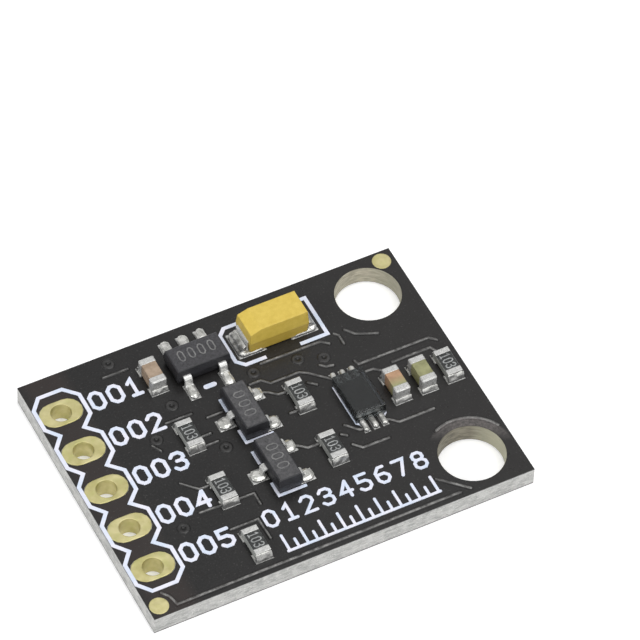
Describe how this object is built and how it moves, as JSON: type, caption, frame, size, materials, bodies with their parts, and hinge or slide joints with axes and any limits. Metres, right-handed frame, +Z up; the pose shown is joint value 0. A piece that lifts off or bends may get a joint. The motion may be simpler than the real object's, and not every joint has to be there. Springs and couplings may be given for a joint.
{
  "type": "light sensor module",
  "caption": "Small black breakout board with an ambient light sensor chip, voltage regulator, level shifting transistors, a row of plated pin pads and two screw holes.",
  "frame": {"origin": "centre of the board's underside", "axes": "+X along the board from the pin pads to the screw holes, +Y to the rear, +Z up from the underside to the component side"},
  "size_m": [0.0204, 0.0152, 0.0027],
  "materials": {
    "fibreglass": "rough sawn edge, pale grey with fibres",
    "solder_mask": "charcoal lacquer, satin",
    "gold_plate": "pale matte gold plating",
    "white_ink": "printed ink, slightly raised",
    "solder": "bright tin alloy, smooth with soft ripples",
    "tin_plate": "tin plated copper, satin",
    "black_moulding": "fine grained black moulding compound",
    "yellow_moulding": "smooth mustard moulding compound",
    "white_ceramic": "fine white alumina",
    "resistor_coat": "glassy black protective coat",
    "brown_ceramic": "smooth fired ceramic",
    "orange_ceramic": "smooth fired ceramic",
    "olive_ceramic": "smooth fired ceramic",
    "clear_resin": "clear moulded resin with a faint grey tint",
    "sensor_die": "dark chip on its frame"
  },
  "bodies": {
    "root": {"capacitor_1_body": "brown_ceramic", "capacitor_1_ends": "tin_plate", "capacitor_2_body": "orange_ceramic", "capacitor_2_ends": "tin_plate", "capacitor_3_body": "olive_ceramic", "capacitor_3_ends": "tin_plate", "capacitor_solder": "solder", "component_legend": "white_ink", "fiducial_front": "gold_plate", "fiducial_rear": "gold_plate", "laminate": "fibreglass", "lands": "tin_plate", "mask_bottom": "solder_mask", "mask_top": "solder_mask", "pin_legend": "white_ink", "pin_pad_1": "gold_plate", "pin_pad_2": "gold_plate", "pin_pad_3": "gold_plate", "pin_pad_4": "gold_plate", "pin_pad_5": "gold_plate", "regulator_body": "black_moulding", "regulator_leads": "tin_plate", "regulator_solder": "solder", "resistor_1_body": "white_ceramic", "resistor_1_coat": "resistor_coat", "resistor_1_ends": "tin_plate", "resistor_2_body": "white_ceramic", "resistor_2_coat": "resistor_coat", "resistor_2_ends": "tin_plate", "resistor_3_body": "white_ceramic", "resistor_3_coat": "resistor_coat", "resistor_3_ends": "tin_plate", "resistor_4_body": "white_ceramic", "resistor_4_coat": "resistor_coat", "resistor_4_ends": "tin_plate", "resistor_5_body": "white_ceramic", "resistor_5_coat": "resistor_coat", "resistor_5_ends": "tin_plate", "resistor_6_body": "white_ceramic", "resistor_6_coat": "resistor_coat", "resistor_6_ends": "tin_plate", "resistor_solder": "solder", "sensor_chip": "sensor_die", "sensor_leads": "tin_plate", "sensor_resin": "clear_resin", "sensor_solder": "solder", "tantalum_body": "yellow_moulding", "tantalum_solder": "solder", "tantalum_straps": "tin_plate", "transistor_1_body": "black_moulding", "transistor_1_leads": "tin_plate", "transistor_2_body": "black_moulding", "transistor_2_leads": "tin_plate", "transistor_solder": "solder"}
  },
  "joints": []
}
